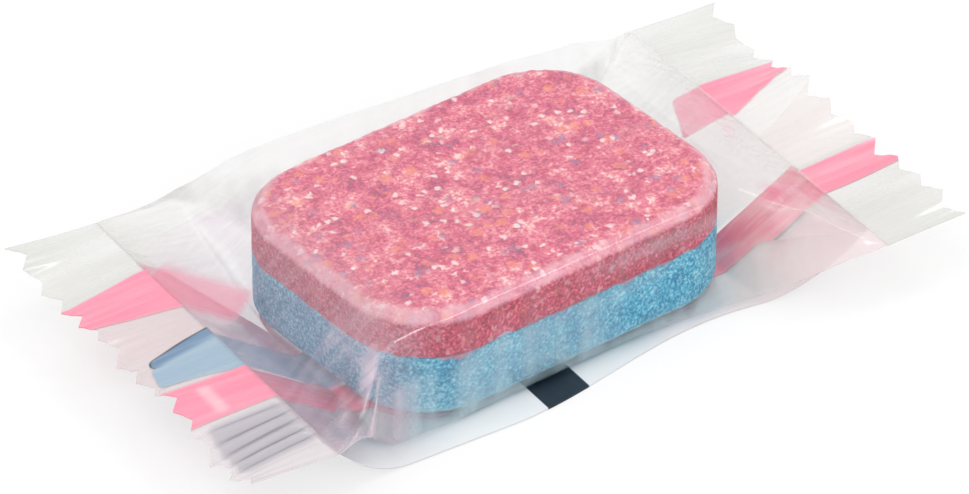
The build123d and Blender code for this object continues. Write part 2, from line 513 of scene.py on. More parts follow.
PINK_POWDER = PressedPowder(
    name="pressed_pink_powder",
    face=Grain(PINK_FACE, FACE_WEIGHTS, 0.13, 1.0),
    wall=Grain(PINK_WALL, WALL_WEIGHTS, 0.14, 0.3),
    flecks=(
        Fleck("#F5916F", 1.15, 0.24, "X", 0.6),
        Fleck("#8F7BA3", 1.1, 0.14, "Y", 0.5),
        Fleck("#FDEFEA", 0.7, 0.12, "Z", 0.75),
        Fleck("#C62F55", 0.95, 0.14, "Y", 0.55),
    ),
    rim="#F5C4CD",
    neighbour="#A9B9D6",
    meeting=TabletSizes().layer_plane,
    lies_above=True,
)
BLUE_POWDER = PressedPowder(
    name="pressed_blue_powder",
    face=Grain(BLUE_FACE, FACE_WEIGHTS, 0.13, 1.0),
    wall=Grain(BLUE_WALL, WALL_WEIGHTS, 0.14, 0.3),
    flecks=(
        Fleck("#D5EEF5", 0.7, 0.14, "Z", 0.8),
        Fleck("#2E72AA", 0.9, 0.12, "X", 0.6),
    ),
    rim="#A9D2E4",
    neighbour="#C97F93",
    meeting=TabletSizes().layer_plane,
    lies_above=False,
)


@dataclass
class Tablet:
    """The tablet: two layers of powder, pressed one on the other."""

    sizes: TabletSizes = TabletSizes()
    corner_segments: int = 18
    voxel: float = 0.22
    pit_depth: float = 0.15
    pale_rim_reach: float = 0.55
    pale_rim_cover: float = 0.62

    def select_edges(
        self, layer: bpy.types.Object, chosen: Callable[[float, float], bool]
    ) -> None:
        """Selects edges by the heights of their two ends. It starts and ends in edit mode.

        Args:
            layer: The layer's object.
            chosen: Takes the two heights in metres, and says whether the edge is selected.
        """
        bpy.ops.mesh.select_all(action="DESELECT")
        bpy.ops.object.mode_set(mode="OBJECT")
        for edge in layer.data.edges:
            edge.select = chosen(*(layer.data.vertices[i].co.z for i in edge.vertices))
        bpy.ops.object.mode_set(mode="EDIT")

    def layer(self, name: str, foot: float, height: float, rim_up: bool) -> bpy.types.Object:
        """Models one layer, rounded in plan and bevelled at its outer face.

        Args:
            name: The piece's name.
            foot: The height of its lower face.
            height: Its own height.
            rim_up: True for a bevel round the upper face, False for the lower one.

        Returns:
            The layer, at its place in the wrapper.
        """
        s = self.sizes
        bpy.ops.object.select_all(action="DESELECT")
        bpy.ops.mesh.primitive_cube_add(size=1.0)
        layer = bpy.context.object
        layer.name = name
        layer.data.name = name
        layer.scale = (s.length * MM, s.width * MM, height * MM)
        layer.rotation_euler = (0.0, 0.0, s.turn)
        layer.location = (s.shift_x * MM, s.shift_y * MM, (foot + height / 2) * MM)
        bpy.ops.object.transform_apply(location=False, rotation=False, scale=True)

        bpy.ops.object.mode_set(mode="EDIT")
        bpy.ops.mesh.select_mode(type="EDGE")
        self.select_edges(layer, lambda a, b: abs(a - b) > height * MM / 2)
        bpy.ops.mesh.bevel(offset=s.corner * MM, segments=self.corner_segments)
        outward = 1 if rim_up else -1
        rims = [outward * height / 2 * MM]
        for offset, segments in ((s.rim_bevel, 1), (s.rim_softening, 2)):
            self.select_edges(
                layer, lambda a, b: any(max(abs(a - rim), abs(b - rim)) < 1e-6 for rim in rims)
            )
            bpy.ops.mesh.bevel(offset=offset * MM, segments=segments)
            rims.append(rims[0] - outward * s.rim_bevel * MM)
        bpy.ops.object.mode_set(mode="OBJECT")
        bpy.ops.object.transform_apply(location=True, rotation=True, scale=True)

        remesh = layer.modifiers.new("powder_grid", "REMESH")
        remesh.mode = "VOXEL"
        remesh.voxel_size = self.voxel * MM
        bpy.ops.object.modifier_apply(modifier=remesh.name)
        self.roughen(layer)
        bpy.ops.object.shade_smooth()
        return layer

    def from_outline(self, places: np.ndarray) -> np.ndarray:
        """Works out how far in from the tablet's outline points lie, seen from above.

        Args:
            places: The points in millimetres, one per row.

        Returns:
            The distances, which stop at the corner's radius.
        """
        s = self.sizes
        turn = np.array([[cos(s.turn), -sin(s.turn)], [sin(s.turn), cos(s.turn)]])
        turned = (places[:, :2] - np.array([s.shift_x, s.shift_y])) @ turn
        beyond = np.maximum(np.abs(turned) - np.array(s.core), 0.0)
        inside = s.corner - np.hypot(beyond[:, 0], beyond[:, 1])
        return np.where(beyond.sum(axis=1) > 0, inside, s.corner)

    def roughen(self, layer: bpy.types.Object) -> None:
        """Presses pits between the grains, and marks the pressed faces and the rubbed rims.

        The pits always go inwards, so that the layer keeps its size, and there are none where
        the layers meet.

        Args:
            layer: The layer's object, already remeshed.
        """
        s = self.sizes
        places, normals = np.empty((2, len(layer.data.vertices) * 3))
        layer.data.vertices.foreach_get("co", places)
        layer.data.vertex_normals.foreach_get("vector", normals)
        places = places.reshape(-1, 3) / MM
        normals = normals.reshape(-1, 3)
        height = places[:, 2]
        face = clipped(np.abs(normals[:, 2]) * 1.4 - 0.4)
        coarse = field_noise(places, (0.9, 0.9, 0.9), 3.1)
        fine = field_noise(places, (0.45, 0.45, 0.45), 9.7)
        depth = clipped(0.45 + 0.75 * coarse + 0.45 * fine)
        depth *= self.pit_depth * (0.3 + 0.7 * face)
        depth *= clipped((np.abs(height - s.layer_plane) - 0.15) / 0.5)

        # The rims are painted paler, partly as the film's sheen over them.
        below_face = np.minimum(np.abs(height - s.foot), np.abs(height - s.top))
        patchy = 0.75 + 0.6 * field_noise(places, (1.1, 1.1, 1.1), 6.6)
        reach = s.rim_bevel + self.pale_rim_reach * patchy
        on_rim = clipped((reach - self.from_outline(places)) / 0.5)
        on_rim *= clipped((s.rim_bevel + 0.15 - below_face) / 0.3)
        mark(layer, "pale_rim", self.pale_rim_cover * on_rim * np.clip(patchy, 0.5, 1.0))
        mark(layer, "pressed_face", clipped((s.rim_bevel + 0.1 - below_face) / 0.25))
        moved = places - normals * depth[:, None]
        layer.data.vertices.foreach_set("co", (moved * MM).reshape(-1))
        layer.data.update()

    def build(self) -> list[bpy.types.Object]:
        """Builds both layers and dresses them.

        Returns:
            The lower and the upper layer.
        """
        s = self.sizes
        bottom = self.layer("tablet_bottom_powder", s.foot, s.bottom_layer, False)
        top = self.layer("tablet_top_powder", s.layer_plane, s.top_layer, True)
        bottom.data.materials.append(BLUE_POWDER.build())
        top.data.materials.append(PINK_POWDER.build())
        for piece, node, slot in (
            (bottom, "tablet_bottom_layer", "blue_powder"),
            (top, "tablet_top_layer", "pink_powder"),
        ):
            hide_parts(node)
            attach(piece, "root")
            LOG.info("%s: %d faces", piece.name, len(piece.data.polygons))
        return [bottom, top]


# The wrapper


@dataclass(frozen=True)
class WebSizes:
    """The wrapper's sizes, the same as in the part's source."""

    film: float = 0.08
    pack_length: float = 70.0
    flat_width: float = 38.0
    seal_length: float = 8.4
    seal_height: float = 5.4
    looseness: float = 0.05
    fold_radius: float = 1.3
    fold_clearance: float = 1.5
    crease_radius: float = 0.15
    rounded_share: float = 0.4
    crown: float = 0.02
    fin_seam: float = -7.5
    fin_width: float = 9.6
    fin_air: float = 0.06
    fin_clear: float = 0.02
    fin_droop: float = 1.2
    fin_root: float = 0.15
    fin_buckle: float = 3.4
    fin_buckle_at: float = 13.0
    fin_buckle_reach: float = 22.0
    rib_count: int = 38
    rib_rise: float = 0.1
    tooth_depth: float = 1.1

    @property
    def seal_start(self) -> float:
        """How far from the middle an end seal starts."""
        return self.pack_length / 2 - self.seal_length

    @property
    def half_flat(self) -> float:
        """Half the width of the flat web tube."""
        return self.flat_width / 2


# Each row of a side wall gives the place along the pack, where the tablet's crown goes from -1
# to 1 and the tents from there to -2 and 2, then how far the wall has opened, how far it
# stands off and how far it leans.
WallRows = tuple[tuple[float, float, float, float], ...]

FRONT_WALL: WallRows = (
    (-2.0, 0.0, 0.0, 0.0),
    (-1.56, 0.42, 0.0, 0.3),
    (-1.15, 0.96, 0.1, 0.2),
    (-0.9, 1.0, 0.15, 0.0),
    (0.4, 1.0, 0.3, 0.0),
    (0.95, 0.92, 1.0, -0.8),
    (1.33, 0.56, 0.7, -1.9),
    (1.8, 0.12, 0.2, -0.8),
    (2.0, 0.0, 0.0, 0.0),
)
BACK_WALL: WallRows = (
    (-2.0, 0.0, 0.0, 0.0),
    (-1.4, 0.04, 0.1, 0.0),
    (-0.97, 0.14, 0.85, 0.2),
    (-0.68, 0.62, 1.4, 1.6),
    (0.13, 0.88, 0.7, 1.2),
    (0.8, 0.98, 0.0, 0.1),
    (1.1, 0.86, -0.5, 0.0),
    (1.5, 0.47, -0.9, 0.0),
    (2.0, 0.0, 0.0, 0.0),
)


@dataclass(frozen=True)
class InkAndPaintedLightField:
    """One plain field of colour on the web: a box with round corners, seen from above.

    Most fields are ink, and some are painted light or painted shade. A field without a cover of
    its own only tints the haze that is there.
    """

    colour: str
    centre: Point
    size: Point
    corner: float = 0.1
    turn: float = 0.0
    cover: float | None = 0.92
    softness: float = 0.15


@dataclass(frozen=True)
class WrappingFilm:
    """Clear wrapping film: stretched polypropylene, cast, stretched both ways and crimped hot.

    It is thin, glossy and almost clear. It goes milky where it is creased, stretched or
    welded, which each piece of film marks on its own mesh, and the haze has fine streaks
    along the pack, as the film was drawn.
    """

    name: str
    fields: tuple[InkAndPaintedLightField, ...]
    tint: str = "#E4E3DE"
    streak_size: Triple = (7.0, 0.7, 3.0)
    streak_reach: float = 0.35
    roughness: float = 0.4
    gloss: float = 0.028
    slant_gloss: float = 0.5
    slant_power: float = 4.0
    gloss_roughness: float = 0.17
    crinkle_size: float = 1.3
    crinkle_depth: float = 0.12
    bump: float = 0.3
    painted_sheen_streaks: float = 0.0
    pleat_painted_shade: str | None = None

    def field_share(self, tree: Tree, ink_and_light_field: InkAndPaintedLightField, place: Socket) -> Socket:
        """Works out how much of a field lies at each point.

        Args:
            tree: The material's node tree.
            ink_and_light_field: The field.
            place: The point on the pack.

        Returns:
            A value from 0 outside the field to 1 inside it.
        """
        corner, soft = ink_and_light_field.corner, ink_and_light_field.softness / 2
        frame_of_field = {
            "vector_type": "TEXTURE",
            "Location": (ink_and_light_field.centre[0] * MM, ink_and_light_field.centre[1] * MM, 0.0),
            "Rotation": (0.0, 0.0, ink_and_light_field.turn),
        }
        spot = add_node(tree, "Mapping", frame_of_field, {"Vector": place}).outputs["Vector"]
        core = [(side / 2 - corner) * MM for side in ink_and_light_field.size]
        steps: tuple[dict[Any, Any], ...] = (
            {"operation": "ABSOLUTE"},
            {"operation": "SUBTRACT", 1: (core[0], core[1], 1.0)},
            {"operation": "MAXIMUM", 1: (0.0, 0.0, 0.0)},
        )
        for step in steps:
            spot = add_node(tree, "VectorMath", step, {0: spot}).outputs["Vector"]
        away = add_node(tree, "VectorMath", {"operation": "LENGTH"}, {0: spot}).outputs["Value"]
        edge = {
            "interpolation_type": "SMOOTHSTEP",
            "From Min": (corner + soft) * MM,
            "From Max": (corner - soft) * MM,
        }
        return add_node(tree, "MapRange", edge, {"Value": away}).outputs["Result"]

    def laid_fields(self, tree: Tree, place: Socket, alpha: Socket) -> tuple[Socket, Socket]:
        """Lays the fields on the film, one over the other: ink, painted light and painted shade.

        Args:
            tree: The material's node tree.
            place: The point on the pack.
            alpha: How much of the light the bare film's haze takes.

        Returns:
            The colour, and how much of the light it takes.
        """
        under: dict[str, Socket] = {}
        for ink_and_light_field in self.fields:
            share = self.field_share(tree, ink_and_light_field, place)
            inks = {"Color1": linear(self.tint), "Color2": linear(ink_and_light_field.colour)}
            mixed = add_node(tree, "MixRGB", inks, {"Fac": share, **under})
            under = {"Color1": mixed.outputs["Color"]}
            if ink_and_light_field.cover is not None:
                cover = {"data_type": "FLOAT", 3: ink_and_light_field.cover}
                alpha = add_node(tree, "Mix", cover, {0: share, 2: alpha}).outputs["Result"]
        return under["Color1"], alpha

    def build(self) -> bpy.types.Material:
        """Builds the film's material.

        Returns:
            The material: gloss over a haze that lets what is behind it show.
        """
        material, tree = new_material(self.name)
        place = add_node(tree, "TexCoord").outputs["Object"]
        drawn = {"Scale": tuple(1 / (size * MM) for size in self.streak_size)}
        stretched = add_node(tree, "Mapping", drawn, {"Vector": place}).outputs["Vector"]
        fine = {"Scale": 1.0, "Detail": 4.0, "Roughness": 0.6}
        streak = add_node(tree, "TexNoise", fine, {"Vector": stretched}).outputs["Fac"]
        spread = {
            "From Min": 0.3,
            "From Max": 0.7,
            "To Min": 1 - self.streak_reach,
            "To Max": 1 + self.streak_reach,
        }
        uneven = add_node(tree, "MapRange", spread, {"Value": streak}).outputs["Result"]
        milky = add_node(tree, "Attribute", {"attribute_name": "milky"}).outputs["Fac"]
        product = {"operation": "MULTIPLY", "use_clamp": True}
        alpha = add_node(tree, "Math", product, {0: milky, 1: uneven}).outputs["Value"]
        colour, alpha = self.laid_fields(tree, place, alpha)

        # Pale streaks of painted sheen run over the ink, and the pleats get painted shade
        # in their hollows.
        overlays: list[tuple[str, Socket]] = []
        if self.painted_sheen_streaks:
            pale = {"From Min": 0.45, "From Max": 0.75, "To Max": self.painted_sheen_streaks}
            painted_sheen = add_node(tree, "MapRange", pale, {"Value": streak}).outputs["Result"]
            overlays.append(("#FFFFFF", painted_sheen))
        if self.pleat_painted_shade:
            painted_pleat_shade = add_node(tree, "Attribute", {"attribute_name": "painted_pleat_shade"}).outputs["Fac"]
            overlays.append((self.pleat_painted_shade, painted_pleat_shade))
        for shade, share in overlays:
            colour = add_node(
                tree, "MixRGB", {"Color2": linear(shade)}, {"Fac": share, "Color1": colour}
            ).outputs["Color"]

        wrinkled = {"Scale": 1 / (self.crinkle_size * MM), "Detail": 3.0, "Roughness": 0.55}
        crinkle = add_node(tree, "TexNoise", wrinkled, {"Vector": place}).outputs["Fac"]
        relief = {"Strength": self.bump, "Distance": self.crinkle_depth * MM}
        bump = add_node(tree, "Bump", relief, {"Height": crinkle}).outputs["Normal"]
        haze = add_node(
            tree,
            "BsdfPrincipled",
            {"Roughness": self.roughness, "IOR": 1.5, "Specular IOR Level": 0.3},
            {"Base Color": colour, "Alpha": alpha, "Normal": bump},
        ).outputs["BSDF"]
        shine = {"Color": linear("#FFFFFF"), "Roughness": self.gloss_roughness}
        gloss = add_node(tree, "BsdfGlossy", shine, {"Normal": bump}).outputs["BSDF"]

        # A film is too thin to bend a ray, so its gloss grows the same way on both of its faces.
        slant = add_node(tree, "LayerWeight", {"Blend": 0.5}, {"Normal": bump}).outputs["Facing"]
        power = {"operation": "POWER", 1: self.slant_power}
        steep = add_node(tree, "Math", power, {0: slant}).outputs["Value"]
        share_of_gloss = {"operation": "MULTIPLY_ADD", 1: self.slant_gloss, 2: self.gloss}
        mirror = add_node(tree, "Math", share_of_gloss, {0: steep}).outputs["Value"]
        film = add_node(tree, "MixShader", links={0: mirror, 1: haze, 2: gloss})
        add_node(tree, "OutputMaterial", links={"Surface": film.outputs["Shader"]})
        return material


PINK_INK = "#F98FA9"
DEEP_PINK_INK = "#F64B7A"
NAVY_INK = "#18222F"
STEEL_INK = "#5F84A8"
SKY_INK = "#9DB6C9"
WHITE_INK = "#F8F9F9"

# The lower web: a pale wash of painted light at the front right, a pale ground at each end, a
# crescent by the tablet, and two pink bands and a blue box that run on into the seals.
UNDERSIDE_PRINT_AND_PAINTED_LIGHT = (
    # Painted light: a pale wash that lifts the shade at the front right.
    InkAndPaintedLightField("#FBE0E4", (22.5, -15.0), (18.0, 12.0), 4.5, cover=0.34, softness=9.0),
    InkAndPaintedLightField("#CFA6B9", (-24.0, -15.0), (16.0, 10.0), 2.0, cover=0.46, softness=3.0),
    InkAndPaintedLightField("#DDB3C5", (-22.0, 0.3), (22.0, 9.6), cover=0.74, softness=1.0),
    InkAndPaintedLightField("#F6E7E7", (22.0, 0.3), (22.0, 9.6), cover=0.3, softness=1.0),
    InkAndPaintedLightField("#DD93BC", (-2.9, -1.3), (36.8, 26.8), 8.0, 0.0925, 0.7, 1.6),
    InkAndPaintedLightField("#E4E3DE", (0.2, 0.3), (36.0, 25.8), 7.2, 0.0925, 0.03, 0.8),
    InkAndPaintedLightField("#F57D9C", (-9.0, 7.8), (42.0, 4.4)),
    InkAndPaintedLightField("#F2809F", (-22.6, 8.5), (9.8, 7.6), 0.6, 0.03, 0.84, 1.0),
    InkAndPaintedLightField("#FF84A4", (25.7, 6.9), (4.2, 4.5), 0.3, -0.36, softness=0.3),
    InkAndPaintedLightField(DEEP_PINK_INK, (0.0, -7.5), (60.0, 4.9)),
    InkAndPaintedLightField(NAVY_INK, (20.6, -10.1), (8.0, 0.3), softness=0.2, cover=0.8),
    InkAndPaintedLightField("#8FB0CC", (-18.6, -2.0), (29.1, 5.2), 1.0, 0.0, softness=0.3),
)

# Both webs as one, where they are welded: the same bands, and the pleats at the left end.
SEAL_PRINT = (
    InkAndPaintedLightField("#E2C5CB", (-30.0, 0.5), (14.0, 11.6), cover=0.46, softness=1.2),
    InkAndPaintedLightField("#E8DAE1", (-30.0, -14.6), (14.0, 9.4), cover=0.46, softness=1.0),
    InkAndPaintedLightField("#F3E6E4", (30.0, 0.3), (14.0, 11.6), cover=0.4, softness=1.2),
    InkAndPaintedLightField(PINK_INK, (30.0, 6.3), (22.0, 5.2)),
    InkAndPaintedLightField("#EFECEA", (31.4, 3.65), (14.0, 3.4), 0.1, 0.4, cover=0.42, softness=0.2),
    InkAndPaintedLightField(PINK_INK, (-30.6, 8.6), (22.0, 4.0), turn=0.11),
    InkAndPaintedLightField(PINK_INK, (-30.6, 7.6), (22.0, 4.0), turn=-0.16),
    InkAndPaintedLightField("#F590A8", (30.0, -8.1), (22.0, 3.9)),
    InkAndPaintedLightField(NAVY_INK, (-23.3, -0.05), (19.0, 4.0), 0.9, 0.17, cover=0.85, softness=0.12),
    InkAndPaintedLightField(STEEL_INK, (-23.2, -0.2), (18.9, 3.95), 0.8, 0.17, softness=0.2),
    InkAndPaintedLightField(SKY_INK, (-23.0, -0.9), (18.6, 3.2), 0.8, 0.17, softness=0.9),
    InkAndPaintedLightField(SKY_INK, (-23.6, -4.1), (20.0, 2.6), 0.5, -0.2, softness=0.25),
    InkAndPaintedLightField(PINK_INK, (-30.0, -7.2), (22.0, 4.9)),
    InkAndPaintedLightField("#F7B9C6", (-31.2, -7.4), (1.1, 3.4), 0.4, softness=0.9),
    InkAndPaintedLightField("#C3BDC5", (-30.2, -13.3), (6.8, 6.2), 0.8, cover=0.7, softness=0.7),
)

# The fin: white, with a dark bar across it, a blue-grey band of painted shade next to the pack,
# and a pink-white patch of painted light at its right end.
FIN_PRINT_AND_PAINTED_LIGHT = (
    InkAndPaintedLightField(WHITE_INK, (0.0, -12.0), (80.0, 30.0), cover=0.96),
    InkAndPaintedLightField("#C9D5DB", (-4.0, -11.0), (40.0, 4.4), 1.0, cover=0.96, softness=3.6),
    InkAndPaintedLightField("#FFF5F5", (23.0, -12.0), (30.0, 10.0), 1.0, cover=0.92, softness=6.0),
    InkAndPaintedLightField(NAVY_INK, (-3.1, -12.3), (4.5, 11.0), cover=0.97, softness=0.12),
)

# The upper web has no ink. Its fields are painted light: they tint the haze with the colour of
# the light that comes through it from what lies close behind, and two set the haze's cover too.
UPPER_PAINTED_LIGHT = (
    InkAndPaintedLightField("#BAE4F5", (-2.0, -14.6), (34.0, 3.4), cover=None, softness=1.0),
    InkAndPaintedLightField("#DDCAD6", (-22.6, -4.0), (10.0, 32.0), 3.0, cover=None, softness=4.0),
    InkAndPaintedLightField("#F8E6E8", (24.5, -18.0), (14.0, 12.0), 4.5, cover=0.27, softness=9.0),
    InkAndPaintedLightField("#F09BB1", (-25.3, 4.9), (10.6, 2.5), 0.9, -1.28, 0.42, 1.1),
    InkAndPaintedLightField("#FFA5BB", (22.8, 3.6), (9.4, 3.8), 0.6, 0.64, None, 0.8),
    InkAndPaintedLightField("#EE9CB2", (23.0, -10.5), (8.6, 2.4), 1.2, 0.36, None, 2.4),
)

CLEAR_FILM = WrappingFilm("clear_polypropylene_film", UPPER_PAINTED_LIGHT)
UNDERSIDE_FILM = WrappingFilm("printed_polypropylene_film", UNDERSIDE_PRINT_AND_PAINTED_LIGHT, painted_sheen_streaks=0.25)
FIN_FILM = WrappingFilm("white_printed_film", FIN_PRINT_AND_PAINTED_LIGHT)
SEAL_FILM = WrappingFilm(
    "welded_polypropylene_film",
    SEAL_PRINT,
    tint="#DADAD5",
    streak_size=(14.0, 1.4, 11.0),
    streak_reach=0.24,
    roughness=0.45,
    gloss_roughness=0.2,
    bump=0.2,
    painted_sheen_streaks=0.16,
    pleat_painted_shade="#736C79",
)


@dataclass(frozen=True)
class Crease:
    """A crease pressed into the film: a line in X and Y, how wide and high, and how milky."""

    start: Point
    end: Point
    width: float
    height: float
    milk: float

    def spread(self, x: np.ndarray, y: np.ndarray) -> np.ndarray:
        """Works out how much of the crease reaches each point.

        Args:
            x: The points' places along the pack.
            y: Their places across it.

        Returns:
            A value from 0 far from the crease to 1 on its middle.
        """
        run = np.array(self.end) - np.array(self.start)
        t = ((x - self.start[0]) * run[0] + (y - self.start[1]) * run[1]) / float(run @ run)
        held = clipped(t)
        away = np.hypot(x - self.start[0] - held * run[0], y - self.start[1] - held * run[1])
        taper = np.sin(pi * np.clip(held, 0.03, 0.97)) ** 0.6
        return np.exp(-((away / self.width) ** 1.4)) * taper


# Creases read off the photograph: two at the front left corner, three at the front right.
# Their milk is partly the film's whitening and partly painted highlight along the folds.
SEEN_CREASES = (
    Crease((-19.8, -14.2), (-23.8, -18.1), 0.17, 0.12, 0.75),
    Crease((-19.9, -14.1), (-25.2, -17.0), 0.17, 0.1, 0.6),
    Crease((17.0, -12.5), (28.2, -16.5), 0.22, 0.2, 0.6),
    Crease((17.0, -14.6), (26.0, -16.0), 0.4, 0.1, 0.25),
    Crease((14.5, -13.0), (24.0, -10.6), 0.35, 0.12, 0.12),
)


@dataclass(frozen=True)
class HazeShares:
    """How much of the light the tube's haze takes, and the places that it depends on.

    Pairs that are named for the tents give the left end and then the right one. The veil and
    its streaks give what there is all over a wall, and then what is added low down on it.
    """

    resting: float = 0.022
    upper_tents: Point = (0.06, 0.03)
    lower_tents: Point = (0.22, 0.2)
    tent_powers: Point = (0.7, 1.2)
    upper_seal: float = 0.04
    lower_seal: float = 0.14
    seal_power: int = 5
    shoulder: float = 0.09
    shoulder_at: float = -19.6
    shoulder_reach: float = 2.6
    left_third: float = 0.02
    front_from: float = -7.0
    wall_top: float = 7.0
    veil: Point = (0.01, 0.16)
    veil_streaks: Point = (0.03, 0.2)
    thickest_veil: float = 0.32
    clinging_at: Point = (8.4, 4.0)
    clinging_reach: Point = (5.2, 2.2)
    clinging_climb: float = 0.14
    cleared: float = 0.7
    sheen: float = 0.09
    sheen_height: float = 9.1
    sheen_reach: float = 0.8
    gusset_top: float = 8.7
    gusset_drop: float = 7.5
    gusset_front: float = -9.0
    outer_fold: Point = (-21.0, -3.0)
    inner_fold: Point = (-21.3, -1.3)
    between_folds: float = 0.12
    least: float = 0.015
    most: float = 0.85


@dataclass
class FilmTube:
    """The web between the two end seals, with the fin that closes it underneath.

    Film can't be folded by a modelling operator, so a flat grid is added as the web comes off
    its roll, and each of its vertices is moved to its place on the folded section.
    """

    sizes: WebSizes = WebSizes()
    tablet: TabletSizes = TabletSizes()
    haze_shares: HazeShares = HazeShares()
    columns: int = 198
    thickness: float = 0.05
    seal_gap: float = 0.07
    weld_reach: float = 0.1
    weld_overlap: float = 0.27
    seed: int = 12

    def box_end(self, end: End) -> float:
        """Gives how far from the middle the tablet's crown ends.

        Args:
            end: The end of the pack.

        Returns:
            The distance along X.
        """
        t = self.tablet
        reach = t.core[0] * cos(t.turn) + t.core[1] * sin(t.turn)
        return reach + t.corner - t.rim_bevel / 2 + end.value * t.shift_x

    def opening(self, x: float) -> float:
        """Gives how far the tent has opened at x.

        Args:
            x: The place along the pack.

        Returns:
            A value from 0 at the seal to 1 over the tablet.
        """
        box_end = self.box_end(End.LEFT if x < 0 else End.RIGHT)
        seal_start = self.sizes.seal_start
        return min(1.0, max(0.0, (seal_start - abs(x)) / (seal_start - box_end)))

    def crown_edge(self, x: float, side: int) -> float:
        """Gives where the film over the tablet's face starts to fall.

        Args:
            x: The place along the pack.
            side: -1 for the front, 1 for the back.

        Returns:
            The Y of the crown's edge.
        """
        t = self.tablet
        core_length, core_width = t.core
        radius = t.corner - t.rim_bevel / 2
        middle = t.shift_y + side * core_width * cos(t.turn)
        left_x = t.shift_x - core_length * cos(t.turn) - side * core_width * sin(t.turn)
        right_x = left_x + 2 * core_length * cos(t.turn)
        rise = core_length * sin(t.turn)
        beyond = min(radius, max(left_x - x, x - right_x, 0.0))
        along = min(1.0, max(0.0, (x - left_x) / (right_x - left_x)))
        edge = blend(middle - rise, middle + rise, along)
        return edge + side * (radius**2 - beyond**2) ** 0.5

    def place_along(self, x: float) -> float:
        """Turns x to the place along the pack that the rows of the side walls give.

        Args:
            x: The place along the pack in millimetres.

        Returns:
            The place, from -2 to 2.
        """
        left, right = self.box_end(End.LEFT), self.box_end(End.RIGHT)
        if x < -left:
            return -1 - (-left - x) / (self.sizes.seal_start - left)
        if x > right:
            return 1 + (x - right) / (self.sizes.seal_start - right)
        return 2 * (x + left) / (left + right) - 1

    def wall_at(self, x: float, side: int) -> Triple:
        """Reads one side wall's row at x.

        Args:
            x: The place along the pack.
            side: -1 for the front, 1 for the back.

        Returns:
            How far the wall has opened, how far it stands off and how far it leans.
        """
        rows = FRONT_WALL if side < 0 else BACK_WALL
        place = min(rows[-1][0], max(rows[0][0], self.place_along(x)))
        step = max(i for i in range(len(rows) - 1) if rows[i][0] <= place)
        start, end = rows[step], rows[step + 1]
        before = rows[max(step - 1, 0)]
        after = rows[min(step + 2, len(rows) - 1)]
        span = end[0] - start[0]
        t = (place - start[0]) / span
        track = []
        for column in (1, 2, 3):
            leave = (end[column] - before[column]) / (end[0] - before[0]) * span
            arrive = (after[column] - start[column]) / (after[0] - start[0]) * span
            track.append(curve(start[column], end[column], leave, arrive, t))
        return min(1.0, max(0.0, track[0])), track[1], track[2]

    def fin_edge(self, x: float) -> float:
        """Gives where the fin's free edge runs, which is scalloped.

        Args:
            x: The place along the pack.

        Returns:
            The Y of the edge.
        """
        s = self.sizes
        buckle = ease(1 - abs(x - s.fin_buckle_at) / s.fin_buckle_reach)
        return s.fin_seam - s.fin_width + s.fin_buckle * buckle

    def bend(self, before: Point, corner: Point, after: Point, radius: float) -> list[Point]:
        """Rounds one corner of a section.

        Args:
            before: The point before the corner.
            corner: The corner itself.
            after: The point after the corner.
            radius: How far the rounding reaches to each side.

        Returns:
            The points of the rounded corner.
        """
        ends = []
        for other in (before, after):
            length = hypot(other[0] - corner[0], other[1] - corner[1])
            reach = min(radius, self.sizes.rounded_share * length)
            ends.append(toward(corner, other, reach / length))
        return [
            toward(toward(ends[0], corner, t), toward(corner, ends[1], t), t)
            for t in np.linspace(0.0, 1.0, 7)
        ]

    def web_line(self, x: float) -> tuple[list[Point], list[Panel]]:
        """Folds the web at x.

        Args:
            x: The place along the pack.

        Returns:
            The web's points from one welded edge to the other, and each one's panel.
        """
        s, t = self.sizes, self.tablet
        opened = self.opening(x)
        seal_top, seal_low = s.seal_height + self.seal_gap, s.seal_height - self.seal_gap
        fin_lift = 2 * s.film + s.fin_air + s.fin_clear
        film_top = t.top + s.looseness + s.film
        top = blend(seal_top, film_top, opened)
        low_back = blend(seal_low, 0.0, opened)
        low_front = blend(seal_low - s.fin_clear, fin_lift, opened)
        corners = {}
        for side in (-1, 1):
            fold, standoff, lean = self.wall_at(x, side)
            tablet_side = side * (t.shift_y + tan(t.turn) * (x - t.shift_x))
            tablet_side += t.width / 2 / cos(t.turn) + s.looseness + s.film
            out = side * (blend(s.half_flat, tablet_side, fold) + standoff)
            low = low_front if side < 0 else low_back
            corners[side] = (
                (out + side * lean, min(top, blend(seal_top, film_top, fold)) - s.crown),
                (out - side * lean, max(low, blend(seal_low, low, fold)) + s.crown),
                blend(s.crease_radius, s.fold_radius, fold),
            )
        front_top, front_low, front_radius = corners[-1]
        back_top, back_low, back_radius = corners[1]
        front_edge = blend(2 * s.fold_radius - s.half_flat, self.crown_edge(x, -1), opened)
        back_edge = blend(s.half_flat - 2 * s.fold_radius, self.crown_edge(x, 1), opened)
        crown_front = (max(front_edge, front_top[0] + s.fold_clearance), top)
        crown_back = (min(back_edge, back_top[0] - s.fold_clearance), top)
        floor_front_y = max(front_edge, front_low[0] + s.fold_clearance)
        floor_front = (min(floor_front_y, s.fin_seam - s.fold_clearance), low_front)
        floor_back = (min(back_edge, back_low[0] - s.fold_clearance), low_back)
        fin_low = low_front - fin_lift + s.fin_clear
        fin_high = fin_low + 2 * s.film
        droop = s.fin_droop * 4 * opened * (1 - opened)
        rim = self.fin_edge(x)
        root = s.fin_seam - s.fin_root

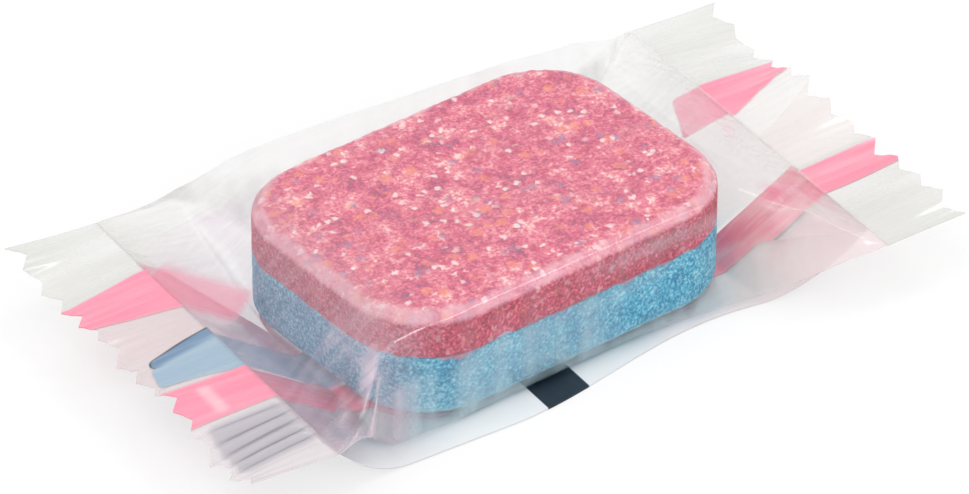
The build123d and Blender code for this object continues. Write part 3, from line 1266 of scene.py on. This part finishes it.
        # Each run gives the corner that the web goes to, with its rounding, then the number of
        # steps to it and the panel.
        runs: tuple[tuple[list[Point], int, Panel], ...] = (
            ([(root, fin_high)], 12, Panel.FIN),
            ([(root, low_front)], 1, Panel.UNDERSIDE),
            ([floor_front], 12, Panel.UNDERSIDE),
            (self.bend(floor_front, front_low, front_top, front_radius), 2, Panel.CLEAR),
            (self.bend(front_low, front_top, crown_front, front_radius), 18, Panel.CLEAR),
            ([crown_front], 3, Panel.CLEAR),
            ([crown_back], 84, Panel.CLEAR),
            (self.bend(crown_back, back_top, back_low, back_radius), 3, Panel.CLEAR),
            (self.bend(back_top, back_low, floor_back, back_radius), 18, Panel.CLEAR),
            ([floor_back], 2, Panel.CLEAR),
            ([(s.fin_seam + s.fin_root, low_back)], 48, Panel.UNDERSIDE),
            ([(s.fin_seam, fin_low)], 2, Panel.UNDERSIDE),
            ([(rim, fin_low - droop)], 12, Panel.FIN),
        )
        points = [(rim, fin_high - droop)]
        panels = [Panel.FIN]
        for corner, count, panel in runs:
            start = points[-1]
            points += [toward(start, corner[0], i / count) for i in range(1, count + 1)]
            points += corner[1:]
            panels += [panel] * (count + len(corner) - 1)
        return points, panels

    def creases(self) -> list[Crease]:
        """Gives the creases that run out of the seals, off the tablet's corners and over it.

        Returns:
            The creases that are drawn at random, and then the ones that the photograph shows.
        """
        random = np.random.RandomState(self.seed)
        s = self.sizes
        made: list[Crease] = []

        def press(start: Point, end: Point, *ranges: Point) -> None:
            """Adds a crease, with its width, height and milk drawn from their ranges."""
            made.append(Crease(start, end, *(random.uniform(*reach) for reach in ranges)))

        for end in (-1, 1):
            for y in np.arange(-17.5, 18.0, 1.05):
                long = random.uniform(2.0, 6.5)
                start = (end * (s.seal_start + 0.6), y + random.uniform(-0.4, 0.4))
                swing = random.uniform(-0.25, 0.25) - 0.03 * y
                far = (start[0] - end * long, start[1] + swing * long)
                press(start, far, (0.25, 0.5), (-0.07, 0.1), (-0.03, 0.07))
            for side in (-1, 1):
                for _ in range(7):
                    fan = random.uniform(0.0, 1.0)
                    start = (end * (15.0 + 3.0 * fan), side * (10.5 - 4.5 * fan))
                    far = (end * random.uniform(22.0, 25.5), side * random.uniform(10.0, 17.5))
                    press(start, far, (0.3, 0.6), (-0.1, 0.25), (0.0, 0.14))
        for _ in range(26):
            start = (random.uniform(-17.0, 15.0), random.uniform(-10.0, 10.0))
            angle = random.normal(0.0, 0.35)
            long = random.uniform(3.0, 11.0)
            far = (start[0] + long * cos(angle), start[1] + long * sin(angle))
            press(start, far, (0.25, 0.5), (0.02, 0.06), (0.0, 0.04))
        return made + list(SEEN_CREASES)

    def gusset_haze(self, shape: np.ndarray, up: np.ndarray, streaks: np.ndarray) -> np.ndarray:
        """Works out the haze of the gusset's double fold, which runs down to the fin.

        Args:
            shape: The folded web in millimetres, by column and row.
            up: How far each point faces up.
            streaks: The haze's streaks.

        Returns:
            The share of light that the fold takes at the front left corner.
        """
        h = self.haze_shares
        x, y, z = np.moveaxis(shape, 2, 0)
        fallen = clipped((h.gusset_top - z) / h.gusset_drop)
        here = np.where((y < h.gusset_front) & (z > 0.8), 1.0, 0.0)
        here = here * clipped((h.gusset_top + 0.9 - z) / 0.8) * clipped(1.2 - up)
        outer, inner = (at + sway * fallen for at, sway in (h.outer_fold, h.inner_fold))
        milky = h.between_folds * clipped((x - outer) / 0.3) * clipped((inner - x) / 0.3)
        # The two white lines are partly the film's whitening and partly painted highlight.
        for line, strength, width in ((outer, 0.55, 0.28), (inner, 0.45, 0.22)):
            milky = milky + strength * hump(x - line, width) * (0.8 + 0.5 * streaks)
        return milky * here

    def haze(
        self, shape: np.ndarray, normals: np.ndarray, opened: np.ndarray, creases: list[Crease]
    ) -> np.ndarray:
        """Works out how milky the film is at each point of the folded web.

        Args:
            shape: The folded web in millimetres, by column and row.
            normals: The web's outward normals.
            opened: How far the tents have opened, by column.
            creases: The film's creases.

        Returns:
            The share of light that the haze takes, by column and row.
        """
        h = self.haze_shares
        x, y, z = np.moveaxis(shape, 2, 0)
        facing_up = clipped(normals[:, :, 2])
        upper = normals[:, :, 2] > -0.2

        # The tents: the lower web is the milkier one, so that what it carries shows through.
        left = x < 0
        tents = np.where(upper, np.where(left, *h.upper_tents), np.where(left, *h.lower_tents))
        milky = h.resting + tents * (1 - opened) ** np.where(left, *h.tent_powers)
        milky = milky + np.where(upper, h.upper_seal, h.lower_seal) * (1 - opened) ** h.seal_power
        milky = milky + h.shoulder * upper * hump(x - h.shoulder_at, h.shoulder_reach)
        milky = milky + h.left_third * clipped((-9.0 - x) / 8.0)

        # The walls: a streaky veil low down, a clear patch where the film clings to the blue
        # layer, and a sheen along the top of the pink one.
        streaks = field_noise(shape * np.array([1.0, 1.0, 0.12]), (1.3, 3.0, 3.0), 2.2)
        front = np.where(y < h.front_from, 1.0, 0.0)
        walled = clipped((1 - np.abs(normals[:, :, 2])) * 1.6 - 0.2)
        low = clipped(h.wall_top - z)
        level = z - h.clinging_at[1] - h.clinging_climb * (x - 8.0)
        clinging = hump(x - h.clinging_at[0], h.clinging_reach[0], 4)
        clinging = clinging * hump(level, h.clinging_reach[1], 4) * front
        veil = h.veil[0] + h.veil[1] * low + (h.veil_streaks[0] + h.veil_streaks[1] * low) * streaks
        milky = milky + walled * np.clip(veil, 0.0, h.thickest_veil) * (1 - clinging)
        sheen = hump(z - h.sheen_height, h.sheen_reach) * clipped((x + 3.0) / 8.0)
        milky = milky + h.sheen * sheen * front * walled
        milky = milky * (1 - h.cleared * clinging * walled)

        for crease in creases:
            milky = milky + crease.milk * crease.spread(x, y) * facing_up
        milky = milky + self.gusset_haze(shape, facing_up, streaks)

        # The weld takes over from the tube's haze at the two ends.
        to_end = self.sizes.seal_start + self.weld_reach - np.abs(x)
        return np.clip(milky, h.least, h.most) * clipped(to_end / self.weld_overlap)

    def crinkle(
        self,
        shape: np.ndarray,
        normals: np.ndarray,
        opened: np.ndarray,
        creases: list[Crease],
        panels: list[Panel],
    ) -> np.ndarray:
        """Adds the film's waves, creases and puckers to the folded web.

        Args:
            shape: The folded web in millimetres, by column and row.
            normals: The web's outward normals.
            opened: How far the tents have opened, by column.
            creases: The film's creases.
            panels: Each row's panel.

        Returns:
            The crinkled web.
        """
        x, y = shape[:, :, 0], shape[:, :, 1]
        facing = normals[:, :, 2]
        tent = 1 - opened
        to_seal = self.sizes.seal_start - np.abs(x)

        # Each wave gives its height, its size along X, Y and Z, its seed and where it is felt.
        lift = np.zeros(x.shape)
        for crease in creases:
            lift += crease.height * crease.spread(x, y) * clipped(facing)
        for height, size, seed, felt in (
            (0.16, (9.0, 6.0, 6.0), 1.7, 0.3 + tent),
            (0.17, (2.2, 2.2, 9.0), 5.3, 1 - np.abs(facing)),
            (0.14, (2.5, 0.9, 2.5), 8.9, np.exp(-to_seal / 2.2)),
            (0.03, (1.4, 1.1, 1.4), 4.4, 0.4 + tent),
        ):
            lift += height * field_noise(shape, size, seed) * felt

        # The film can't sink into the tablet or the table, and the fin lies flat.
        over_tablet = opened * clipped(facing * 3)
        lift = np.where(lift < 0, lift * (1 - 0.85 * over_tablet), lift)
        under = (facing < -0.5) & (opened > 0.97)
        lift = np.where(under, np.minimum(lift, 0.0) * 0.1, lift)
        is_fin = np.array([panel is Panel.FIN for panel in panels])[None, :]
        lift = np.where(is_fin, 0.0, lift)
        lift *= np.clip(to_seal / 0.8, 0.25, 1.0)
        return shape + normals * lift[:, :, None]

    def build(self) -> bpy.types.Object:
        """Folds, crinkles, thickens and dresses the web.

        Returns:
            The film tube with its fin.
        """
        start = self.sizes.seal_start + self.weld_reach
        stations = np.linspace(-start, start, self.columns + 1)
        lines = [self.web_line(float(x)) for x in stations]
        panels = lines[0][1]
        shape = np.array(
            [[(x, p[0], p[1]) for p in line] for x, (line, _) in zip(stations, lines)]
        )
        normals = np.cross(np.gradient(shape, axis=0), np.gradient(shape, axis=1))
        normals /= np.maximum(np.linalg.norm(normals, axis=2, keepdims=True), 1e-9)
        opened = np.array([self.opening(float(x)) for x in stations])[:, None]
        creases = self.creases()
        milky = self.haze(shape, normals, opened, creases)
        crinkled = self.crinkle(shape, normals, opened, creases, panels)
        tube, at = flat_web("film_tube", crinkled)
        mark(tube, "milky", milky[at])
        for film in (CLEAR_FILM, UNDERSIDE_FILM, FIN_FILM):
            tube.data.materials.append(film.build())
        for face in tube.data.polygons:
            row = max(at[1][i] for i in face.vertices)
            face.material_index = panels[row].value
        thicken(tube, self.thickness, -1.0)
        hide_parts("film_wrapper")
        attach(tube, "root")
        LOG.info("%s: %d faces", tube.name, len(tube.data.polygons))
        return tube


@dataclass
class EndSeal:
    """One end seal: two webs crimped together hot between ribbed jaws, and cut in a zigzag.

    Each tip gives how far along the pack it reaches, and how high it has curled from the seal.
    """

    end: End
    tips: tuple[Point, ...]
    sizes: WebSizes = WebSizes()
    columns: int = 30
    rows_a_tooth: int = 26
    thickness: float = 0.12
    weld_start: float = -0.17
    weld_overlap: float = 0.27
    tooth_unevenness: float = 0.16
    curl_power: float = 1.3
    slack: float = 0.45
    pleats_at: Point = (29.9, -13.4)
    pleat_reach: Point = (3.2, 3.0)
    pleat_pitch: float = 1.25
    pleat_height: float = 0.17

    def through_tips(self, y: np.ndarray, values: Sequence[float]) -> np.ndarray:
        """Reads a smooth curve through one value for each tip.

        Args:
            y: The places across the pack.
            values: The values, from the back to the front.

        Returns:
            The curve's value at each place.
        """
        half = self.sizes.half_flat
        spots = np.linspace(-half, half, len(values))
        heights = np.array(values)[::-1]
        step = np.clip(np.searchsorted(spots, y) - 1, 0, len(spots) - 2)
        start, end = heights[step], heights[step + 1]
        before = heights[np.maximum(step - 1, 0)]
        after = heights[np.minimum(step + 2, len(spots) - 1)]
        t = clipped((y - spots[step]) / (spots[step + 1] - spots[step]))
        return curve(start, end, (end - before) / 2, (after - start) / 2, t)

    def zigzag(self, y: np.ndarray) -> np.ndarray:
        """Works out how deep the zigzag cut goes in from the tips.

        Args:
            y: The places across the pack.

        Returns:
            The depth at each place.
        """
        s = self.sizes
        tooth = (y + s.half_flat) / s.flat_width * (len(self.tips) - 1)
        uneven = 1 + self.tooth_unevenness * np.sin(2.3 * np.floor(tooth) + self.end.value)
        return s.tooth_depth * (1 - np.abs(2 * (tooth % 1.0) - 1)) * uneven

    def build(self) -> bpy.types.Object:
        """Crimps, cuts, thickens and dresses the seal.

        Returns:
            The end seal.
        """
        s = self.sizes
        side = self.end.value
        rows = (len(self.tips) - 1) * self.rows_a_tooth
        y = np.linspace(-s.half_flat, s.half_flat, rows + 1)[None, :]
        t = np.linspace(0.0, 1.0, self.columns + 1)[:, None]
        inner = s.seal_start + self.weld_start
        cut_at = self.through_tips(y, [tip[0] for tip in self.tips]) - self.zigzag(y)
        x = blend(inner, cut_at, t)
        y = y + 0 * x
        share = clipped((x - s.seal_start) / s.seal_length)
        crimped = clipped(share * 8)
        flat = np.stack([side * x, y, 0 * x], axis=2)
        loose = field_noise(flat, (16.0, 2.3, 5.0), 2.9 + side)
        uneven = field_noise(flat, (6.0, 3.0, 5.0), 6.1 + side)

        # The tips curl, the seal is a little slack, and the jaws leave their ribs.
        curl = self.through_tips(y, [tip[1] for tip in self.tips])
        ribs = np.cos(2 * pi * s.rib_count * (y + s.half_flat) / s.flat_width)
        z = s.seal_height + curl * share**self.curl_power + self.slack * loose * share
        z = z + s.rib_rise * 0.45 * ribs * (0.6 + 0.8 * uneven) * crimped
        # The haze follows the slack's waves, partly as painted light and shade on the pleats.
        milky = np.clip(0.42 + 0.3 * loose + 0.1 * uneven, 0.2, 0.7)
        milky = milky * clipped((x - inner) / self.weld_overlap)
        painted_pleat_shade = np.zeros(x.shape)
        if self.end is End.LEFT:
            # Film that was folded in under the jaws stands in pleats, and their hollows get painted
            # shade.
            folded = hump(y - self.pleats_at[1], self.pleat_reach[1], 4)
            wander = 0.22 * loose - 0.02 * (x - 30.0)
            wave = np.cos(2 * pi * (y + wander) / self.pleat_pitch)
            z = z + self.pleat_height * folded * wave * crimped
            painted_pleat_shade = folded * clipped((-wave - 0.5) / 0.5) ** 1.4
            painted_pleat_shade = painted_pleat_shade * hump(x - self.pleats_at[0], self.pleat_reach[0], 6)
            painted_pleat_shade = np.clip(painted_pleat_shade * (0.8 + 0.7 * uneven), 0.0, 0.95)
        order = slice(None, None, side)
        shape = np.stack([side * x, y, z], axis=2)[order]
        seal, at = flat_web(f"end_seal_{self.end.name.lower()}", shape)
        mark(seal, "milky", milky[order][at])
        mark(seal, "painted_pleat_shade", painted_pleat_shade[order][at])
        seal.data.materials.append(SEAL_FILM.build())
        welded = self.columns if side < 0 else 0
        thicken(seal, self.thickness, 0.0, np.flatnonzero(at[0] == welded))
        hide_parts("film_wrapper")
        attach(seal, "root")
        LOG.info("%s: %d faces", seal.name, len(seal.data.polygons))
        return seal


# The tips of the two cut edges, from the back to the front.
LEFT_TIPS = (
    (35.2, 0.6), (35.2, 0.1), (35.15, -0.5), (35.0, -0.75), (35.05, -0.2), (34.9, 0.0),
    (34.95, -0.65), (34.85, -0.7), (34.8, -0.05), (34.85, 0.25), (35.0, -0.25), (35.0, -1.35),
    (34.9, -1.05), (34.65, 0.25),
)
RIGHT_TIPS = (
    (35.2, -0.2), (35.1, -0.6), (35.05, -1.2), (34.8, -0.7), (34.45, 0.5), (34.1, 1.85),
    (34.05, 1.15), (34.2, 0.65), (34.25, 0.45), (34.3, 0.6), (34.35, 0.75), (34.35, 0.95),
    (34.4, 0.2),
)


# The studio


@dataclass(frozen=True)
class SoftLamp:
    """A soft rectangular lamp that points at the pack: place and size in metres, and watts."""

    name: str
    place: Triple
    size: Point
    power: float

    def hang(self) -> None:
        """Adds the lamp to the scene."""
        data = bpy.data.lights.new(self.name, "AREA")
        data.shape = "RECTANGLE"
        data.size, data.size_y = self.size
        data.energy = self.power
        lamp = bpy.data.objects.new(self.name, data)
        lamp.location = self.place
        lamp.rotation_mode = "QUATERNION"
        lamp.rotation_quaternion = (-Vector(self.place)).to_track_quat("-Z", "Y")
        bpy.context.scene.collection.objects.link(lamp)


LAMPS = (
    SoftLamp("key_softbox", (-0.3, 0.05, 0.65), (0.4, 0.4), 1.0),
    SoftLamp("front_fill", (0.1, -0.6, 0.28), (0.5, 0.3), 0.7),
    SoftLamp("right_strip", (0.55, 0.1, 0.35), (0.4, 0.12), 0.4),
    SoftLamp("left_strip", (-0.5, -0.2, 0.3), (0.35, 0.1), 0.35),
    SoftLamp("rim_spark", (0.28, 0.05, 0.56), (0.11, 0.11), 0.4),
)


@dataclass
class Studio:
    """A pale floor, soft lamps and the camera that took the photograph."""

    azimuth: float = radians(-32.74)
    elevation: float = radians(35.11)
    distance: float = 600.0
    focal_pixels: float = 7248.64
    image_width: int = 969
    aside: float = -0.09
    above: float = 3.25
    centre: Triple = (-0.55, 0.0, 0.35)
    floor_glow: float = 0.6
    world_light: float = 0.76

    def camera(self) -> None:
        """Places the camera at the photograph's angle."""
        a, e = self.azimuth, self.elevation
        back = Vector((sin(a) * cos(e), -cos(a) * cos(e), sin(e)))
        right = Vector((cos(a), sin(a), 0.0))
        up = back.cross(right)
        eye = Vector(self.centre) + back * self.distance + right * self.aside + up * self.above
        data = bpy.data.cameras.new("camera")
        data.sensor_width = 36.0
        data.lens = self.focal_pixels * data.sensor_width / self.image_width
        data.clip_start = 0.05
        data.clip_end = 20.0
        camera = bpy.data.objects.new("camera", data)
        camera.location = eye * MM
        camera.rotation_mode = "QUATERNION"
        camera.rotation_quaternion = (-back).to_track_quat("-Z", "Y")
        bpy.context.scene.collection.objects.link(camera)
        bpy.context.scene.camera = camera

    def seen_directly(self, tree: Tree) -> Socket:
        """Tells the rays that show the backdrop itself, in gloss or through the film too.

        Args:
            tree: The node tree that asks.

        Returns:
            1 for such a ray, and 0 for one that only carries light.
        """
        path = add_node(tree, "LightPath").outputs
        shown = path["Is Camera Ray"]
        for name in ("Is Glossy Ray", "Is Transmission Ray"):
            either = {0: shown, 1: path[name]}
            shown = add_node(tree, "Math", {"operation": "MAXIMUM"}, either).outputs["Value"]
        return shown

    def floor(self) -> None:
        """Lays the pale floor, which keeps the pack's shadow."""
        bpy.ops.object.select_all(action="DESELECT")
        bpy.ops.mesh.primitive_plane_add(size=6.0, location=(0.0, 0.0, -0.00003))
        floor = bpy.context.object
        floor.name = "studio_floor"
        material, tree = new_material("matt_white_card")
        matt = {"Color": linear("#F7F7F7"), "Roughness": 0.6}
        card = add_node(tree, "BsdfDiffuse", matt).outputs["BSDF"]
        white = {"Color": linear("#FFFFFF"), "Strength": 1.0}
        glow = add_node(tree, "Emission", white).outputs["Emission"]
        part = {"operation": "MULTIPLY", 1: self.floor_glow}
        share = add_node(tree, "Math", part, {0: self.seen_directly(tree)}).outputs["Value"]
        mixed = add_node(tree, "MixShader", links={0: share, 1: card, 2: glow})
        add_node(tree, "OutputMaterial", links={"Surface": mixed.outputs["Shader"]})
        floor.data.materials.append(material)

    def world(self) -> None:
        """Sets the even light all round, with a white backdrop behind it."""
        world = bpy.data.worlds.new("studio")
        world.use_nodes = True
        tree = world.node_tree
        tree.nodes.clear()
        reach = {"To Min": self.world_light, "To Max": 1.0}
        strength = add_node(tree, "MapRange", reach, {"Value": self.seen_directly(tree)})
        sky = add_node(
            tree,
            "Background",
            {"Color": linear("#FFFFFF")},
            {"Strength": strength.outputs["Result"]},
        )
        add_node(tree, "OutputWorld", links={"Surface": sky.outputs["Background"]})
        bpy.context.scene.world = world

    def build(self) -> None:
        """Builds the whole studio."""
        self.floor()
        self.world()
        for lamp in LAMPS:
            lamp.hang()
        self.camera()
        bpy.context.scene.view_settings.view_transform = "Standard"


def main() -> None:
    """Builds the pack and the studio."""
    logging.basicConfig(level=logging.INFO, format="%(name)s: %(message)s")
    Tablet().build()
    FilmTube().build()
    EndSeal(End.LEFT, LEFT_TIPS).build()
    EndSeal(End.RIGHT, RIGHT_TIPS).build()
    Studio().build()


if __name__ == "__main__":
    main()
